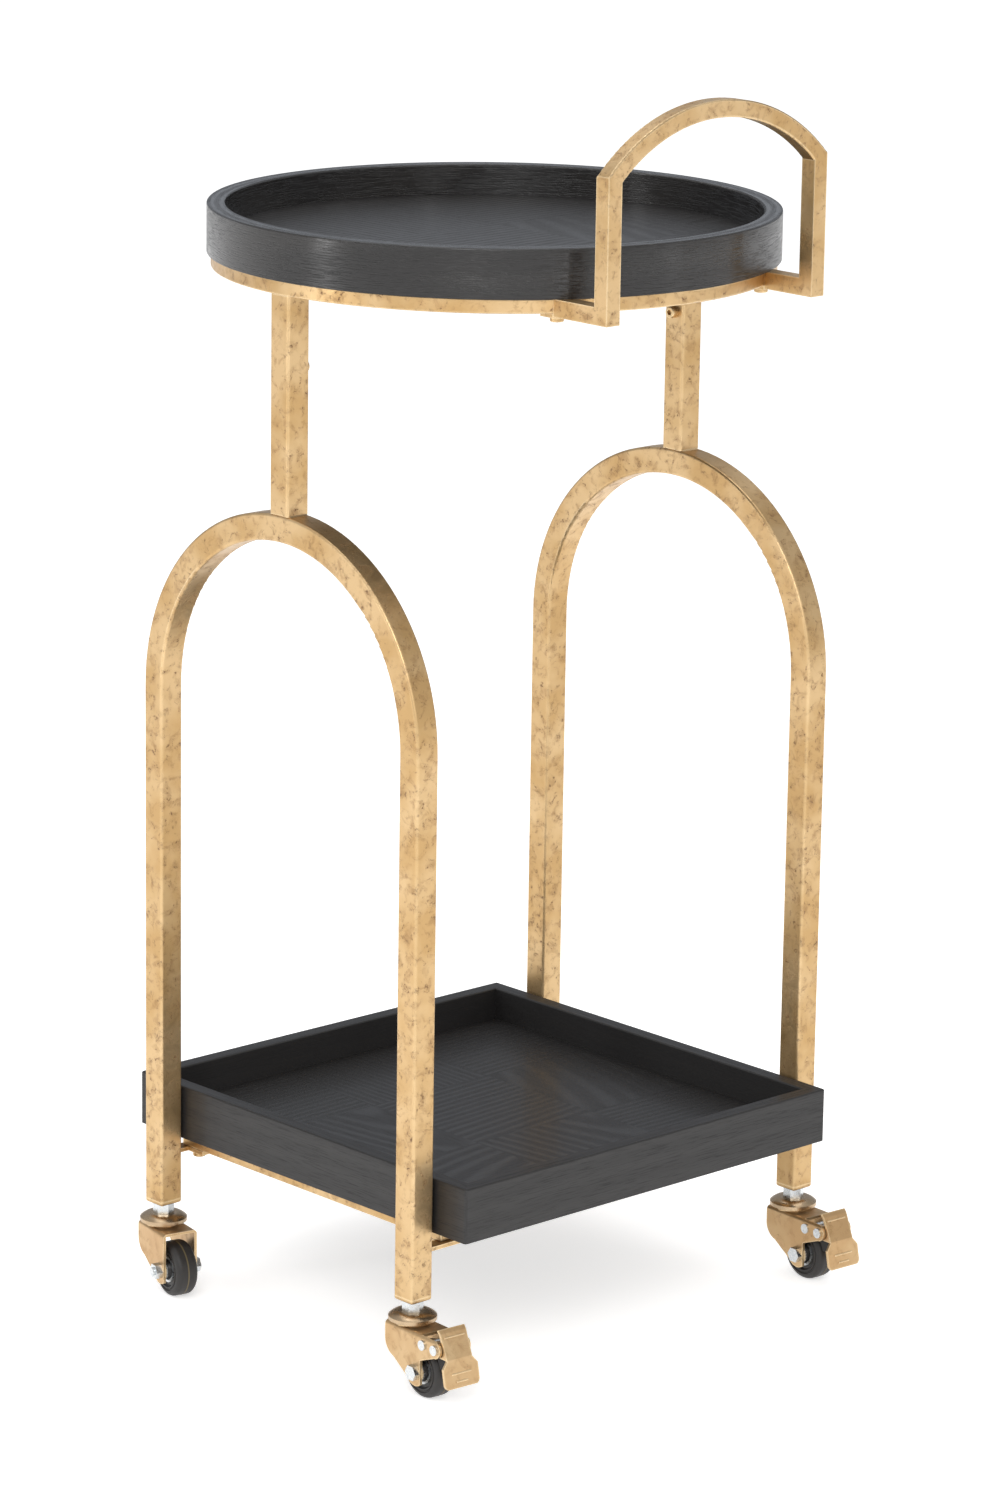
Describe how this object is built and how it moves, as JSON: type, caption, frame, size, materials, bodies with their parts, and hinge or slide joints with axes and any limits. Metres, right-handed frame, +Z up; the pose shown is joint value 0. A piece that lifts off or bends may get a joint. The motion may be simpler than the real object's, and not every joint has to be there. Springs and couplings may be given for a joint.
{
  "type": "bar cart",
  "caption": "Bar cart: a round rimmed tray above a square rimmed tray, on two arched square-tube legs with a push handle, swivel casters and brake pedals.",
  "frame": {"origin": "on the floor, under the middle of the cart's outline; the trays' centre column stands 10 mm towards +Y of it", "axes": "+Z up from the floor; +X from the left arch to the right arch; the push handle is on the -Y side"},
  "size_m": [0.4164, 0.42, 0.8835],
  "materials": {
    "antique_gold_paint": "satin, mottled like aged gold leaf",
    "black_stained_oak": "satin, open grain",
    "zinc_plated_steel": "bright zinc plate",
    "bronze_plated_steel": "satin bronze plate",
    "bearing_steel": "polished",
    "tyre_rubber": "matte",
    "hub_plastic": "moulded",
    "shoe_rubber": "matte"
  },
  "bodies": {
    "cart_frame": {"left_arch": "antique_gold_paint", "right_arch": "antique_gold_paint", "leg_end_caps": "antique_gold_paint", "left_post": "antique_gold_paint", "right_post": "antique_gold_paint", "post_spigots": "antique_gold_paint", "post_bolts": "antique_gold_paint", "top_ring": "antique_gold_paint", "ring_tabs": "antique_gold_paint", "top_tray_rim": "black_stained_oak", "top_tray_floor": "black_stained_oak", "top_tray_screws": "zinc_plated_steel", "handle": "antique_gold_paint", "handle_tabs": "antique_gold_paint", "handle_bolts": "antique_gold_paint", "lower_frame_left": "antique_gold_paint", "lower_frame_right": "antique_gold_paint", "lower_frame_front": "antique_gold_paint", "lower_frame_back": "antique_gold_paint", "leg_tabs": "antique_gold_paint", "leg_tab_bolts": "antique_gold_paint", "rivet_nuts": "zinc_plated_steel", "lower_tray_left_rail": "black_stained_oak", "lower_tray_right_rail": "black_stained_oak", "lower_tray_front_rail": "black_stained_oak", "lower_tray_back_rail": "black_stained_oak", "lower_tray_floor": "black_stained_oak", "lower_tray_screws": "zinc_plated_steel", "caster_stems": "zinc_plated_steel", "swivel_covers": "bronze_plated_steel", "bearing_balls": "bearing_steel"},
    "front_left_swivel": {"front_left_fork": "antique_gold_paint", "front_left_axle": "zinc_plated_steel", "front_left_brake_pins": "zinc_plated_steel"},
    "front_left_wheel": {"front_left_tyre": "tyre_rubber", "front_left_hub": "hub_plastic", "front_left_hub_rings": "zinc_plated_steel"},
    "front_left_brake": {"front_left_pedal": "antique_gold_paint", "front_left_brake_shoe": "shoe_rubber"},
    "front_right_swivel": {"front_right_fork": "antique_gold_paint", "front_right_axle": "zinc_plated_steel", "front_right_brake_pins": "zinc_plated_steel"},
    "front_right_wheel": {"front_right_tyre": "tyre_rubber", "front_right_hub": "hub_plastic", "front_right_hub_rings": "zinc_plated_steel"},
    "front_right_brake": {"front_right_pedal": "antique_gold_paint", "front_right_brake_shoe": "shoe_rubber"},
    "back_left_swivel": {"back_left_fork": "antique_gold_paint", "back_left_axle": "zinc_plated_steel"},
    "back_left_wheel": {"back_left_tyre": "tyre_rubber", "back_left_hub": "hub_plastic", "back_left_hub_rings": "zinc_plated_steel"},
    "back_right_swivel": {"back_right_fork": "antique_gold_paint", "back_right_axle": "zinc_plated_steel"},
    "back_right_wheel": {"back_right_tyre": "tyre_rubber", "back_right_hub": "hub_plastic", "back_right_hub_rings": "zinc_plated_steel"}
  },
  "joints": [
    {"name": "front_left_swivel", "type": "hinge", "parent": "cart_frame", "child": "front_left_swivel", "pos_m": [-0.1865, -0.125, 0.05], "axis": [0, 0, 1], "continuous": true},
    {"name": "front_left_spin", "type": "hinge", "parent": "front_left_swivel", "child": "front_left_wheel", "pos_m": [-0.1879, -0.14495, 0.02], "axis": [0.9976, -0.0698, 0], "continuous": true},
    {"name": "front_left_brake", "type": "hinge", "parent": "front_left_swivel", "child": "front_left_brake", "pos_m": [-0.1894, -0.1665, 0.042], "axis": [0.9976, -0.0698, 0], "range_deg": [0, 11]},
    {"name": "front_right_swivel", "type": "hinge", "parent": "cart_frame", "child": "front_right_swivel", "pos_m": [0.1865, -0.125, 0.05], "axis": [0, 0, 1], "continuous": true},
    {"name": "front_right_spin", "type": "hinge", "parent": "front_right_swivel", "child": "front_right_wheel", "pos_m": [0.18545, -0.14497, 0.02], "axis": [0.9986, -0.0523, 0], "continuous": true},
    {"name": "front_right_brake", "type": "hinge", "parent": "front_right_swivel", "child": "front_right_brake", "pos_m": [0.18432, -0.16654, 0.042], "axis": [0.9986, -0.0523, 0], "range_deg": [0, 11]},
    {"name": "back_left_swivel", "type": "hinge", "parent": "cart_frame", "child": "back_left_swivel", "pos_m": [-0.1865, 0.145, 0.05], "axis": [0, 0, 1], "continuous": true},
    {"name": "back_left_spin", "type": "hinge", "parent": "back_left_swivel", "child": "back_left_wheel", "pos_m": [-0.19066, 0.12544, 0.02], "axis": [0.9781, -0.2079, 0], "continuous": true},
    {"name": "back_right_swivel", "type": "hinge", "parent": "cart_frame", "child": "back_right_swivel", "pos_m": [0.1865, 0.145, 0.05], "axis": [0, 0, 1], "continuous": true},
    {"name": "back_right_spin", "type": "hinge", "parent": "back_right_swivel", "child": "back_right_wheel", "pos_m": [0.18406, 0.12515, 0.02], "axis": [0.9925, -0.1219, 0], "continuous": true}
  ]
}
